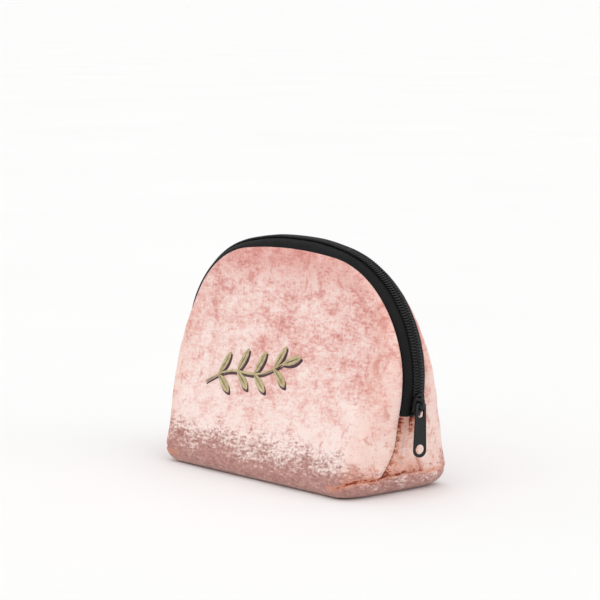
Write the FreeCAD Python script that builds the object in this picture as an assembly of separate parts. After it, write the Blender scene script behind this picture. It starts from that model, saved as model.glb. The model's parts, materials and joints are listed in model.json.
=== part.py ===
import FreeCAD, Part

import math
import os

# A dome-shaped soft cosmetic pouch: velvet outside, foam between, thin lining inside, and one coil
# zip that runs over the whole arch. Millimetres. +X is the end where the slider rests, -Y is the
# front with the embroidery, +Z is up, and Z = 0 is the underside of the flat base.

# Outline of the front and back panels, at the seam between the panel and the zip tape.
BASE_HALF_WIDTH = 71.6
SEAM_TOP = 111.8
SHOULDER_RADIUS = 54.3
SHOULDER_X = 26.0
CROWN_RADIUS = 262.6
SIDE_END_ANGLE = -15.8      # where the shoulder arc passes into the straighter lower side, degrees

# Depth, front to back.
BASE_DEPTH = 76.0
BASE_EDGE_RADIUS = 11.4     # the fold from the base up into the front and the back
BASE_SIDE_RADIUS = 8.0      # the softer edge from the base up into the sides
FACE_POWER = 1.42           # how the face leans back towards the zip
FACE_HOLLOW = 2.9           # how far the face is hollow at half height
CORNER_RADIUS_BASE = 14.0
CORNER_RADIUS_TOP = 6.0
CORNER_OVERLAP = 0.8        # the rounded sections stand this much outside the arch outline

# Layers of the wall, outside to inside.
VELVET = 1.0
FOAM = 1.6
LINING = 0.4

# Zip.
STRIP_HALF_WIDTH = 6.9      # seam to the middle of the zip
PANEL_PROUD = 1.3           # the panel's face beyond the seam, at the top of the arch
TAPE_THICKNESS = 0.5
TAPE_HEIGHT = 2.4           # outer face of the tape beside the coil, above the seam outline
COIL_HALF_WIDTH = 2.85
COIL_HEIGHT = 1.8
CHAIN_HALF_GAP = 0.55       # each coil stops here, so that the slider's web can run between them
ZIP_END_ANGLE = -17.7       # cut end of the tape, on the shoulder arc
STOP_LENGTH_ANGLE = 1.7
ZIP_FIXED_ANGLE = -2.0      # the zip below this stays with the lower body
ZIP_LEAF_ANGLE = 6.5        # the zip above this moves with the leaf
CHAIN_END_ANGLE = ZIP_END_ANGLE + STOP_LENGTH_ANGLE

# Gussets below the zip ends.
BASE_SEAM_HEIGHT = 9.7
GUSSET_SPREAD_HEIGHT = 28.0
GUSSET_HALF_BASE = 23.8
GUSSET_POWER = 2.2

# The mouth opens where the leaves fold.
PANEL_FIXED_TOP = 51.0
PANEL_LEAF_BOTTOM = 62.0

# Slider and puller.
SLIDER_ANGLE = -10.4
SLIDER_HALF_ANGLE = 4.5
SLIDER_HALF_WIDTH = 3.5
SLIDER_CLEARANCE = 0.25
PLATE_THICKNESS = 0.9
LOWER_PLATE_HALF_WIDTH = 2.8
FLANGE_INNER = 3.0
FLANGE_CLEARANCE = 0.35
WEB_HALF_WIDTH = 0.35
BAIL_HALF_WIDTH = 0.9
BAIL_THICKNESS = 0.9
BAIL_OPENING_HEIGHT = 1.8
BAIL_OPENING_LENGTH = 4.8
BAR_RADIUS = 0.65
PULLER_LENGTH = 25.1        # from the bar to the rounded end
PULLER_HALF_TOP = 2.6
PULLER_HALF_END = 3.3
PULLER_THICKNESS = 1.2
PULLER_HOLE_RADIUS = 2.3
PULLER_HOLE_RISE = 0.5      # the hole sits this much above the centre of the rounded end
WINDOW_HALF_WIDTH = 1.4
WINDOW_LENGTH = 6.3

# Embroidered sprig on the front.
SPRIG_CENTRE_X = -21.5
SPRIG_CENTRE_Z = 49.0
SPRIG_LENGTH = 54.0
SPRIG_LEAF_LENGTH = 13.0
SPRIG_LEAF_WIDTH = 4.4
SPRIG_STEM_WIDTH = 1.6
SPRIG_RAISED = 0.8
SHADOW_RAISED = 0.45
SHADOW_SHIFT = 1.1
SPRIG_PAIRS = 4

FAR = 200.0                 # larger than the bag, for cutting tools

BASE = FreeCAD.Vector(0, 0, 0)
CROWN_Z = SEAM_TOP - CROWN_RADIUS
SHOULDER_Z = CROWN_Z + math.sqrt((CROWN_RADIUS - SHOULDER_RADIUS) ** 2 - SHOULDER_X ** 2)
SHOULDER_TOP_ANGLE = math.degrees(math.atan2(SHOULDER_Z - CROWN_Z, SHOULDER_X))
WALL = VELVET + FOAM + LINING


def polar(centre_x, centre_z, radius, degrees):
    """A point of the XZ plane, counted from +X towards +Z."""
    angle = math.radians(degrees)
    return FreeCAD.Vector(centre_x + radius * math.cos(angle), 0, centre_z + radius * math.sin(angle))


def arc(centre_x, centre_z, radius, start, end):
    middle = (start + end) / 2
    points = [polar(centre_x, centre_z, radius, a) for a in (start, middle, end)]
    return Part.Arc(*points).toShape()


def line(a, b):
    return Part.LineSegment(a, b).toShape()


def mirrored_x(shape):
    return shape.mirror(BASE, FreeCAD.Vector(1, 0, 0))


def mirrored_y(shape):
    return shape.mirror(BASE, FreeCAD.Vector(0, 1, 0))


def block(x0, x1, y0, y1, z0, z1):
    return Part.makeBox(x1 - x0, y1 - y0, z1 - z0, FreeCAD.Vector(x0, y0, z0))


# ---------------------------------------------------------------- the bag's outer form

def side_poles(inset):
    """Bezier poles of the right side, from the base up to the start of the shoulder arc."""
    top = polar(SHOULDER_X, SHOULDER_Z, SHOULDER_RADIUS - inset, SIDE_END_ANGLE)
    angle = math.radians(SIDE_END_ANGLE)
    reach = top.z / 3 / math.cos(angle)
    x = BASE_HALF_WIDTH - inset
    below_top = FreeCAD.Vector(top.x + reach * math.sin(angle), 0, top.z - reach * math.cos(angle))
    return [FreeCAD.Vector(x, 0, 0), FreeCAD.Vector(x, 0, top.z / 3), below_top, top]


def half_width(z):
    """Half of the arch's width at a height up to the shoulder; above it, the widest."""
    if z >= SHOULDER_Z:
        return SHOULDER_X + SHOULDER_RADIUS
    rise = (z - SHOULDER_Z) / SHOULDER_RADIUS
    if rise > math.sin(math.radians(SIDE_END_ANGLE)):
        return SHOULDER_X + SHOULDER_RADIUS * math.sqrt(1 - rise * rise)
    poles = side_poles(0)
    t = max(0.0, z / poles[3].z)
    weights = [(1 - t) ** 3, 3 * t * (1 - t) ** 2, 3 * t * t * (1 - t), t ** 3]
    return sum(w * p.x for w, p in zip(weights, poles))


def arch_prism(inset):
    """The arch outline, moved inwards by inset, as a long prism along Y that also runs below Z = 0."""
    side = Part.BezierCurve()
    side.setPoles(side_poles(inset))
    foot = FreeCAD.Vector(BASE_HALF_WIDTH - inset, 0, -10)
    right = [
        line(foot, side_poles(inset)[0]),
        side.toShape(),
        arc(SHOULDER_X, SHOULDER_Z, SHOULDER_RADIUS - inset, SIDE_END_ANGLE, SHOULDER_TOP_ANGLE),
    ]
    crown = arc(0, CROWN_Z, CROWN_RADIUS - inset, SHOULDER_TOP_ANGLE, 180 - SHOULDER_TOP_ANGLE)
    left = [mirrored_x(edge) for edge in right]
    bottom = line(foot, FreeCAD.Vector(-foot.x, 0, foot.z))
    wire = Part.Wire(Part.__sortEdges__(right + [crown] + left + [bottom]))
    prism = Part.Face(wire).extrude(FreeCAD.Vector(0, 2 * FAR, 0))
    prism.translate(FreeCAD.Vector(0, -FAR, 0))
    return prism


def half_depth(z):
    """Half of the depth at a height, before the fold at the base is rounded."""
    share = min(max(z / SEAM_TOP, 0.0), 1.0)
    top = STRIP_HALF_WIDTH + PANEL_PROUD
    lean = (BASE_DEPTH / 2 - top) * (1 - share) ** FACE_POWER
    return top + lean - 4 * FACE_HOLLOW * share * (1 - share)


def rounded_corner(x, y, radius, z):
    """The start, middle and end of the arc at one corner, going round anticlockwise."""
    sx, sy = math.copysign(1, x), math.copysign(1, y)
    on_side = FreeCAD.Vector(x, y - sy * radius, z)
    on_face = FreeCAD.Vector(x - sx * radius, y, z)
    cut = radius * (1 - math.sqrt(0.5))
    middle = FreeCAD.Vector(x - sx * cut, y - sy * cut, z)
    return (on_side, middle, on_face) if sx == sy else (on_face, middle, on_side)


def rounded_section(half_x, half_y, radius, z):
    """A rectangle with round corners, level at height z."""
    places = [(half_x, half_y), (-half_x, half_y), (-half_x, -half_y), (half_x, -half_y)]
    corners = [rounded_corner(x, y, radius, z) for x, y in places]
    edges = []
    for corner, following in zip(corners, corners[1:] + corners[:1]):
        edges.append(Part.Arc(*corner).toShape())
        edges.append(line(corner[2], following[0]))
    return Part.Wire(edges)


def quarter_round(radius, height):
    """How far a rounded lower edge stands back from its wall, at a height above the underside."""
    below = min(max(1 - height / radius, 0.0), 1.0)
    return radius * (1 - math.sqrt(1 - below * below))


def lofted_body(inset):
    """The rounded body whose faces lean in towards the zip, moved inwards by inset."""
    radius = BASE_EDGE_RADIUS - inset
    fold_shares = (0.0, 0.06, 0.2, 0.42, 0.7, 1.0)
    levels = [inset + radius * share for share in fold_shares]
    levels += [25.0, 41.0, 58.0, 80.0, 100.0, SEAM_TOP, SEAM_TOP + 8]
    wires = []
    for z in levels:
        half_x = half_width(z) + CORNER_OVERLAP - inset
        half_x -= quarter_round(BASE_SIDE_RADIUS - inset, z - inset)
        half_y = half_depth(z) - inset - quarter_round(radius, z - inset)
        share = min(z / SHOULDER_Z, 1.0)
        corner = CORNER_RADIUS_BASE + (CORNER_RADIUS_TOP - CORNER_RADIUS_BASE) * share
        corner = min(corner, half_y - 1) - inset
        wires.append(rounded_section(half_x, half_y, corner, z))
    return Part.makeLoft(wires, True, False)


def bag_volume(inset):
    return arch_prism(inset).common(lofted_body(inset))


# ---------------------------------------------------------------- cutting the layers into pieces

def gusset_half_width(z):
    share = max(0.0, 1 - z / GUSSET_SPREAD_HEIGHT)
    return STRIP_HALF_WIDTH + (GUSSET_HALF_BASE - STRIP_HALF_WIDTH) * share ** GUSSET_POWER


ZIP_END_Z = polar(SHOULDER_X, SHOULDER_Z, SHOULDER_RADIUS, ZIP_END_ANGLE).z


def gusset_prism():
    """The gusset's outline in YZ, as a prism through the right side wall."""
    steps = 8
    rise = GUSSET_SPREAD_HEIGHT - BASE_SEAM_HEIGHT
    heights = [BASE_SEAM_HEIGHT + rise * (n / steps) for n in range(steps + 1)]
    edge_points = [FreeCAD.Vector(0, gusset_half_width(z), z) for z in heights]
    curve = Part.BSplineCurve()
    curve.interpolate(edge_points)
    back_edge = curve.toShape()
    front_edge = mirrored_y(back_edge)
    top = FreeCAD.Vector(0, STRIP_HALF_WIDTH, ZIP_END_Z)
    front_top = FreeCAD.Vector(0, -STRIP_HALF_WIDTH, ZIP_END_Z)
    first, last = edge_points[0], edge_points[-1]
    edges = [
        back_edge,
        line(last, top),
        line(top, front_top),
        line(front_top, FreeCAD.Vector(0, -last.y, last.z)),
        front_edge,
        line(FreeCAD.Vector(0, -first.y, first.z), first),
    ]
    face = Part.Face(Part.Wire(Part.__sortEdges__(edges)))
    prism = face.extrude(FreeCAD.Vector(FAR, 0, 0))
    prism.translate(FreeCAD.Vector(BASE_HALF_WIDTH / 2, 0, 0))
    return prism


def layer_pieces(outer, inner, slot_half_width):
    """One wall layer, cut into the lower body, two gussets, two fold bands and two upper panels."""
    shell = outer.cut(inner)
    right_gusset_tool = gusset_prism()
    left_gusset_tool = mirrored_x(right_gusset_tool)
    slot = block(-FAR, FAR, -slot_half_width, slot_half_width, ZIP_END_Z, FAR)
    panels = shell.cut(slot).cut(right_gusset_tool).cut(left_gusset_tool)
    front = (-FAR, FAR, -FAR, -slot_half_width)
    fold = panels.common(block(*front, PANEL_FIXED_TOP, PANEL_LEAF_BOTTOM))
    leaf = panels.common(block(*front, PANEL_LEAF_BOTTOM, FAR))
    return {
        "body": panels.common(block(-FAR, FAR, -FAR, FAR, -1, PANEL_FIXED_TOP)),
        "right_gusset": shell.common(right_gusset_tool),
        "left_gusset": shell.common(left_gusset_tool),
        "front_fold": fold,
        "back_fold": mirrored_y(fold),
        "front_panel": leaf,
        "back_panel": mirrored_y(leaf),
    }


# ---------------------------------------------------------------- the zip

def swept_section(points, centre_x, centre_z, radius, start, end):
    """A section given as (y, height above the seam outline), turned about an axis along Y."""
    corners = [FreeCAD.Vector(centre_x + radius + height, y, centre_z) for y, height in points]
    face = Part.Face(Part.makePolygon(corners + corners[:1]))
    centre = FreeCAD.Vector(centre_x, 0, centre_z)
    lift = FreeCAD.Vector(0, -1, 0)
    face.rotate(centre, lift, start)
    return face.revolve(centre, lift, end - start)


def shoulder_sweep(points, start, end):
    return swept_section(points, SHOULDER_X, SHOULDER_Z, SHOULDER_RADIUS, start, end)


def arch_sweep(points):
    """A section carried over the moving part of the arch, from one leaf end to the other."""
    right = shoulder_sweep(points, ZIP_LEAF_ANGLE, SHOULDER_TOP_ANGLE)
    crown = swept_section(
        points, 0, CROWN_Z, CROWN_RADIUS, SHOULDER_TOP_ANGLE, 180 - SHOULDER_TOP_ANGLE
    )
    return right.fuse([crown, mirrored_x(right)]).removeSplitter()


def tape_section():
    """Front tape: flat beside the coil, then sloping down to the seam."""
    seam = STRIP_HALF_WIDTH
    shoulder = COIL_HALF_WIDTH + 0.6
    under = TAPE_HEIGHT - TAPE_THICKNESS
    outside = [(CHAIN_HALF_GAP, TAPE_HEIGHT), (shoulder, TAPE_HEIGHT), (5.5, 1.9), (seam, 0.1)]
    inside = [(seam, -0.5), (6.5, -0.5), (5.1, 1.4), (shoulder - 0.1, under), (CHAIN_HALF_GAP, under)]
    return [(-y, height) for y, height in outside + inside]


def coil_section():
    """Front coil: a rounded bar that lies on the tape."""
    middle = (CHAIN_HALF_GAP + COIL_HALF_WIDTH) / 2
    reach = (COIL_HALF_WIDTH - CHAIN_HALF_GAP) / 2
    bevel = 0.5
    low, high = TAPE_HEIGHT, TAPE_HEIGHT + COIL_HEIGHT
    half = [(reach - bevel, low), (reach, low + bevel), (reach, high - bevel), (reach - bevel, high)]
    near = [(-(middle + y), height) for y, height in half]
    far = [(-(middle - y), height) for y, height in reversed(half)]
    return near + far


def zip_pieces(section, start):
    """One stringer part of the front half: its two fixed ends, its two fold ends and its leaf part."""
    end = shoulder_sweep(section, start, ZIP_FIXED_ANGLE)
    fold = shoulder_sweep(section, ZIP_FIXED_ANGLE, ZIP_LEAF_ANGLE)
    return end, Part.makeCompound([fold, mirrored_x(fold)]), arch_sweep(section)


def stop_section():
    low, high = TAPE_HEIGHT, TAPE_HEIGHT + COIL_HEIGHT
    wide = COIL_HALF_WIDTH + 0.1
    return [(-CHAIN_HALF_GAP, low), (-wide, low), (-wide, high), (-CHAIN_HALF_GAP, high)]


def top_stops():
    """Two small clamped stops that end the coils below the slider."""
    front = shoulder_sweep(stop_section(), ZIP_END_ANGLE + 0.4, CHAIN_END_ANGLE - 0.1)
    return Part.makeCompound([front, mirrored_y(front)])


def bottom_stop():
    """One wider stop that clamps both coils at the left end."""
    low, high = TAPE_HEIGHT, TAPE_HEIGHT + COIL_HEIGHT
    wide = COIL_HALF_WIDTH + 0.3
    section = [(-wide, low), (wide, low), (wide, high), (-wide, high)]
    right = shoulder_sweep(section, ZIP_END_ANGLE + 0.4, CHAIN_END_ANGLE - 0.1)
    return mirrored_x(right)


# ---------------------------------------------------------------- slider and puller

COIL_TOP = TAPE_HEIGHT + COIL_HEIGHT
PLATE_BOTTOM = COIL_TOP + SLIDER_CLEARANCE
PLATE_TOP = PLATE_BOTTOM + PLATE_THICKNESS
BAR_HEIGHT = PLATE_TOP + BAIL_OPENING_HEIGHT / 2


def slider_sweep(y0, y1, low, high, start, end):
    points = [(y0, low), (y1, low), (y1, high), (y0, high)]
    return shoulder_sweep(points, start, end)


def slider_body():
    """Upper and lower plate, side flanges, the web between the coils and the bail for the puller."""
    start = SLIDER_ANGLE - SLIDER_HALF_ANGLE
    end = SLIDER_ANGLE + SLIDER_HALF_ANGLE
    under_top = TAPE_HEIGHT - TAPE_THICKNESS - SLIDER_CLEARANCE
    lower_low = under_top - PLATE_THICKNESS
    upper = slider_sweep(-SLIDER_HALF_WIDTH, SLIDER_HALF_WIDTH, PLATE_BOTTOM, PLATE_TOP, start, end)
    lower = slider_sweep(
        -LOWER_PLATE_HALF_WIDTH, LOWER_PLATE_HALF_WIDTH, lower_low, under_top, start, end
    )
    flange_low = TAPE_HEIGHT + FLANGE_CLEARANCE
    flange = slider_sweep(FLANGE_INNER, SLIDER_HALF_WIDTH, flange_low, PLATE_BOTTOM, start, end)
    web = slider_sweep(-WEB_HALF_WIDTH, WEB_HALF_WIDTH, under_top, PLATE_BOTTOM, start, SLIDER_ANGLE)
    return upper.fuse([lower, flange, mirrored_y(flange), web, bail()]).removeSplitter()


def bail():
    """An arched strap over the upper plate, drawn level and then turned to the slider's place."""
    base = SHOULDER_RADIUS + PLATE_BOTTOM + PLATE_THICKNESS / 2
    roof = SHOULDER_RADIUS + PLATE_TOP + BAIL_OPENING_HEIGHT
    reach = BAIL_OPENING_LENGTH / 2
    outside = [
        FreeCAD.Vector(base, 0, -reach - BAIL_THICKNESS - 0.3),
        FreeCAD.Vector(roof - 0.6, 0, -reach - BAIL_THICKNESS),
        FreeCAD.Vector(roof + BAIL_THICKNESS, 0, -reach + 0.4),
        FreeCAD.Vector(roof + BAIL_THICKNESS, 0, reach - 0.4),
        FreeCAD.Vector(roof - 0.6, 0, reach + BAIL_THICKNESS),
        FreeCAD.Vector(base, 0, reach + BAIL_THICKNESS + 0.3),
    ]
    opening = [
        FreeCAD.Vector(base - 1, 0, -reach),
        FreeCAD.Vector(roof - 0.5, 0, -reach),
        FreeCAD.Vector(roof, 0, -reach + 0.6),
        FreeCAD.Vector(roof, 0, reach - 0.6),
        FreeCAD.Vector(roof - 0.5, 0, reach),
        FreeCAD.Vector(base - 1, 0, reach),
    ]
    width = FreeCAD.Vector(0, 2 * BAIL_HALF_WIDTH, 0)
    strap = Part.Face(Part.makePolygon(outside + outside[:1])).extrude(width)
    hole = Part.Face(Part.makePolygon(opening + opening[:1])).extrude(width)
    shape = strap.cut(hole)
    shape.translate(FreeCAD.Vector(SHOULDER_X, -BAIL_HALF_WIDTH, SHOULDER_Z))
    shape.rotate(FreeCAD.Vector(SHOULDER_X, 0, SHOULDER_Z), FreeCAD.Vector(0, -1, 0), SLIDER_ANGLE)
    return shape


def puller():
    """A flat tag that hangs straight down from its bar, with a window at the top and a round hole."""
    bar = polar(SHOULDER_X, SHOULDER_Z, SHOULDER_RADIUS + BAR_HEIGHT, SLIDER_ANGLE)
    end_z = -PULLER_LENGTH + PULLER_HALF_END
    top_left = FreeCAD.Vector(0, -PULLER_HALF_TOP, -WINDOW_LENGTH)
    top_right = FreeCAD.Vector(0, PULLER_HALF_TOP, -WINDOW_LENGTH)
    low_left = FreeCAD.Vector(0, -PULLER_HALF_END, end_z)
    low_right = FreeCAD.Vector(0, PULLER_HALF_END, end_z)
    arm_left = FreeCAD.Vector(0, -PULLER_HALF_TOP, 0)
    arm_right = FreeCAD.Vector(0, PULLER_HALF_TOP, 0)
    rounding = Part.Arc(low_left, FreeCAD.Vector(0, 0, -PULLER_LENGTH), low_right).toShape()
    outline = Part.Wire([
        line(arm_left, top_left),
        line(top_left, low_left),
        rounding,
        line(low_right, top_right),
        line(top_right, arm_right),
        line(arm_right, arm_left),
    ])
    plate = Part.Face(outline).extrude(FreeCAD.Vector(PULLER_THICKNESS, 0, 0))
    plate.translate(FreeCAD.Vector(-PULLER_THICKNESS / 2, 0, 0))
    window = block(-5, 5, -WINDOW_HALF_WIDTH, WINDOW_HALF_WIDTH, -WINDOW_LENGTH, 1)
    hole_centre = FreeCAD.Vector(-5, 0, end_z + PULLER_HOLE_RISE)
    hole = Part.makeCylinder(PULLER_HOLE_RADIUS, 10, hole_centre, FreeCAD.Vector(1, 0, 0))
    pin_start = FreeCAD.Vector(0, -PULLER_HALF_TOP, 0)
    pin = Part.makeCylinder(BAR_RADIUS, 2 * PULLER_HALF_TOP, pin_start, FreeCAD.Vector(0, 1, 0))
    tag = plate.cut([window, hole]).fuse(pin)
    tag.translate(bar)
    return tag


# ---------------------------------------------------------------- embroidery

def leaf_outline(base_point, degrees, length, width):
    """A pointed leaf in the XZ plane, as two arcs between its base and its tip."""
    angle = math.radians(degrees)
    along = FreeCAD.Vector(math.cos(angle), 0, math.sin(angle))
    side = FreeCAD.Vector(-math.sin(angle), 0, math.cos(angle))
    tip = base_point + along * length
    middle = base_point + along * (length / 2)
    first = Part.Arc(base_point, middle + side * (width / 2), tip).toShape()
    second = Part.Arc(tip, middle - side * (width / 2), base_point).toShape()
    return Part.Face(Part.Wire([first, second]))


def stem_point(share):
    """The stem is a shallow S between its two ends."""
    x = SPRIG_CENTRE_X + (share - 0.5) * SPRIG_LENGTH
    z = SPRIG_CENTRE_Z + (share - 0.5) * 14 + 2.5 * math.sin(2 * math.pi * share)
    return FreeCAD.Vector(x, 0, z)


def stem_face():
    shares = [n / 6 for n in range(7)]
    upper = Part.BSplineCurve()
    lower = Part.BSplineCurve()
    half = FreeCAD.Vector(0, 0, SPRIG_STEM_WIDTH / 2)
    upper.interpolate([stem_point(s) + half for s in shares])
    lower.interpolate([stem_point(s) - half for s in shares])
    start = line(stem_point(0) - half, stem_point(0) + half)
    end = line(stem_point(1) + half, stem_point(1) - half)
    return Part.Face(Part.Wire(Part.__sortEdges__([upper.toShape(), end, lower.toShape(), start])))


def sprig_prisms():
    """Stem and leaves, as prisms through the front panel."""
    faces = [stem_face(), leaf_outline(stem_point(1), 20, SPRIG_LEAF_LENGTH, SPRIG_LEAF_WIDTH)]
    for n in range(SPRIG_PAIRS):
        root = stem_point((n + 0.6) / SPRIG_PAIRS)
        faces.append(leaf_outline(root, 62, SPRIG_LEAF_LENGTH, SPRIG_LEAF_WIDTH))
        faces.append(leaf_outline(root, -36, SPRIG_LEAF_LENGTH, SPRIG_LEAF_WIDTH))
    prisms = [face.extrude(FreeCAD.Vector(0, -FAR, 0)) for face in faces]
    return prisms[0].fuse(prisms[1:])


def embroidery(outside):
    """The thread raised above the velvet, and its darker thread beside and below it."""
    prisms = sprig_prisms()
    gold = bag_volume(-SPRIG_RAISED).cut(outside).common(prisms)
    lower = prisms.copy()
    lower.translate(FreeCAD.Vector(SHADOW_SHIFT, 0, -SHADOW_SHIFT))
    shadow = bag_volume(-SHADOW_RAISED).cut(outside).common(lower).cut(prisms)
    return gold, shadow


# ---------------------------------------------------------------- all sub-parts

def wall_parts(volumes):
    layers = {
        "velvet": layer_pieces(volumes[0], volumes[1], STRIP_HALF_WIDTH),
        "foam": layer_pieces(volumes[1], volumes[2], STRIP_HALF_WIDTH + PANEL_PROUD - WALL + LINING),
        "lining": layer_pieces(volumes[2], volumes[3], STRIP_HALF_WIDTH + PANEL_PROUD - WALL),
    }
    return {f"{place}_{name}": s for name, pieces in layers.items() for place, s in pieces.items()}


def zip_parts():
    parts = {}
    for name, section, start in (
        ("tape", tape_section(), ZIP_END_ANGLE),
        ("coil", coil_section(), CHAIN_END_ANGLE),
    ):
        end, fold, leaf = zip_pieces(section, start)
        right = Part.makeCompound([end, mirrored_y(end)])
        parts[f"right_zip_end_{name}s"] = right
        parts[f"left_zip_end_{name}s"] = mirrored_x(right)
        parts[f"front_fold_{name}"] = fold
        parts[f"back_fold_{name}"] = mirrored_y(fold)
        parts[f"front_zip_{name}"] = leaf
        parts[f"back_zip_{name}"] = mirrored_y(leaf)
    parts["zip_top_stops"] = top_stops()
    parts["zip_bottom_stop"] = bottom_stop()
    parts["slider_body"] = slider_body()
    parts["zip_puller"] = puller()
    return parts


def all_parts():
    volumes = [bag_volume(inset) for inset in (0, VELVET, VELVET + FOAM, WALL)]
    gold, shadow = embroidery(volumes[0])
    parts = wall_parts(volumes)
    parts.update(zip_parts())
    parts["sprig_gold_thread"] = gold
    parts["sprig_shadow_thread"] = shadow
    return parts


def main():
    os.makedirs("parts", exist_ok=True)
    for name, shape in all_parts().items():
        solids = shape.Solids
        print(name, len(solids), "solids", round(shape.Volume, 1), "mm3", shape.isValid())
        result = solids[0] if len(solids) == 1 else Part.makeCompound(solids)
        result.exportStep(f"parts/{name}.step")


main()
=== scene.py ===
import json
from math import asin, atan2, copysign, cos, exp, pi, radians, sin, sqrt

import bpy
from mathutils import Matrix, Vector, noise


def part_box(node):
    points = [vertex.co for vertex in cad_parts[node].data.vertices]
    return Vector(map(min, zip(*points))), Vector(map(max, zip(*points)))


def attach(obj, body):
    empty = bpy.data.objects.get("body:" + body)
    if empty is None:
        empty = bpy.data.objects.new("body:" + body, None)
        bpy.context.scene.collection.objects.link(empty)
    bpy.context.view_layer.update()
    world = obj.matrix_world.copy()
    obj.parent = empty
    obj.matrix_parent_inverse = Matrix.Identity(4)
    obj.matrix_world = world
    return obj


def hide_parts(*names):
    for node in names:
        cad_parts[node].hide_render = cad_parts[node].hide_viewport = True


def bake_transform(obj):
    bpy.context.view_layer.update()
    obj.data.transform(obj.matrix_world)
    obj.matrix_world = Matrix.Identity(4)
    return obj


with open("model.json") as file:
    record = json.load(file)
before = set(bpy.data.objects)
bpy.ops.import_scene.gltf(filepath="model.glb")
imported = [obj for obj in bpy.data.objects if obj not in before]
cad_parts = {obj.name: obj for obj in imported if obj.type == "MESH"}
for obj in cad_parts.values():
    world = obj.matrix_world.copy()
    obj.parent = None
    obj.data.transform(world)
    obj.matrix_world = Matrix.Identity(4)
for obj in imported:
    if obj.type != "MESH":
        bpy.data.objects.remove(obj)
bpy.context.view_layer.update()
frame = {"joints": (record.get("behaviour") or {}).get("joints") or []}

# A dome-shaped pouch of crushed velvet with a black coil zip over its arch.
# Shapes are worked out in millimetres and become metres when their mesh is made.
# +X is the end where the slider rests, -Y is the front, Z = 0 is the underside.
MM = 0.001

# ---- sizes taken from the frame


def joint_place(name):
    joint = next(j for j in frame["joints"] if j["name"] == name)
    return Vector(joint["pos_m"]) / MM


def node_box(name):
    low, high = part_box(name)
    return low / MM, high / MM


PANEL_HIGH = node_box("front_panel_velvet")[1]
FOLD_HIGH = node_box("front_fold_velvet")[1]
GUSSET_LOW, GUSSET_HIGH = node_box("right_gusset_velvet")

SEAM_TOP = PANEL_HIGH.z
STRIP_HALF = -PANEL_HIGH.y  # seam to the middle of the zip
SHOULDER = joint_place("slider_travel")  # centre of the shoulder arc
SHOULDER_RADIUS = FOLD_HIGH.x - SHOULDER.x
DROP = SEAM_TOP - SHOULDER.z
CROWN_RADIUS = (SHOULDER.x ** 2 + DROP ** 2 - SHOULDER_RADIUS ** 2) / (2 * (DROP - SHOULDER_RADIUS))
CROWN_Z = SEAM_TOP - CROWN_RADIUS
SHOULDER_TOP = atan2(SHOULDER.z - CROWN_Z, SHOULDER.x)
BASE_SEAM = GUSSET_LOW.z
ZIP_END_Z = GUSSET_HIGH.z
ZIP_END = asin((ZIP_END_Z - SHOULDER.z) / SHOULDER_RADIUS)
FACE_TOP = STRIP_HALF + 1.3

# ---- sizes of the soft form

BASE_HALF_WIDTH = 71.6
SIDE_END = radians(-15.8)  # shoulder arc above, straighter side below
BASE_HALF_DEPTH = 38.0
BASE_EDGE = 11.4  # radius of the fold from the base into the front
BASE_SIDE = 8.0  # radius of the fold from the base into the sides
FACE_POWER = 1.42
FACE_HOLLOW = 2.9
GUSSET_SPREAD = 28.0
GUSSET_HALF_BASE = 23.8
GUSSET_POWER = 2.2
SHELL = 2.4  # velvet with its foam backing
LINING_GAP = 0.1
LINING = 0.45

TAPE_HEIGHT = 2.4
TAPE_THICKNESS = 0.5
COIL_TOP = 4.05
CROWN_LIFT = 1.4  # the zip stands this much higher over the middle of the crown
SLIDER_ANGLE = radians(-10.4)
PLATE_BOTTOM = 4.45
PLATE_TOP = PLATE_BOTTOM + 0.85


def smoothstep(low, high, value):
    t = min(max((value - low) / (high - low), 0.0), 1.0)
    return t * t * (3 - 2 * t)


def mix(a, b, share):
    return a + (b - a) * share


def side_poles():
    """Bezier poles (x, z) of the lower side, from the base to the shoulder arc."""
    top_x = SHOULDER.x + SHOULDER_RADIUS * cos(SIDE_END)
    top_z = SHOULDER.z + SHOULDER_RADIUS * sin(SIDE_END)
    reach = top_z / 3 / cos(SIDE_END)
    below_top = (top_x + reach * sin(SIDE_END), top_z - reach * cos(SIDE_END))
    return [(BASE_HALF_WIDTH, 0), (BASE_HALF_WIDTH, top_z / 3), below_top, (top_x, top_z)]


SIDE_POLES = side_poles()
SIDE_TOP_Z = SIDE_POLES[3][1]


def half_width(z):
    """Half of the arch's width at a height up to the shoulder centre; above it, the widest."""
    if z >= SHOULDER.z:
        return SHOULDER.x + SHOULDER_RADIUS
    if z > SIDE_TOP_Z:
        rise = (z - SHOULDER.z) / SHOULDER_RADIUS
        return SHOULDER.x + SHOULDER_RADIUS * sqrt(1 - rise * rise)
    t = max(0.0, z / SIDE_TOP_Z)
    weights = [(1 - t) ** 3, 3 * t * (1 - t) ** 2, 3 * t * t * (1 - t), t ** 3]
    return sum(w * pole[0] for w, pole in zip(weights, SIDE_POLES))


def half_depth(z):
    share = min(max(z / SEAM_TOP, 0.0), 1.0)
    lean = (BASE_HALF_DEPTH - FACE_TOP) * (1 - share) ** FACE_POWER
    return FACE_TOP + lean - 4 * FACE_HOLLOW * share * (1 - share)


def seam_half(z):
    """Half of the width of the strip between the front and back seams, at a height."""
    share = max(0.0, 1 - max(z, BASE_SEAM) / GUSSET_SPREAD)
    return STRIP_HALF + (GUSSET_HALF_BASE - STRIP_HALF) * share ** GUSSET_POWER


def quarter_round(radius, height):
    below = min(max(1 - height / radius, 0.0), 1.0)
    return radius * (1 - sqrt(1 - below * below))


def rim_width(z):
    """How far the rounded rim of a panel reaches in from its seam."""
    return 4.5 + 4.5 * max(0.0, 1 - z / 30)


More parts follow.
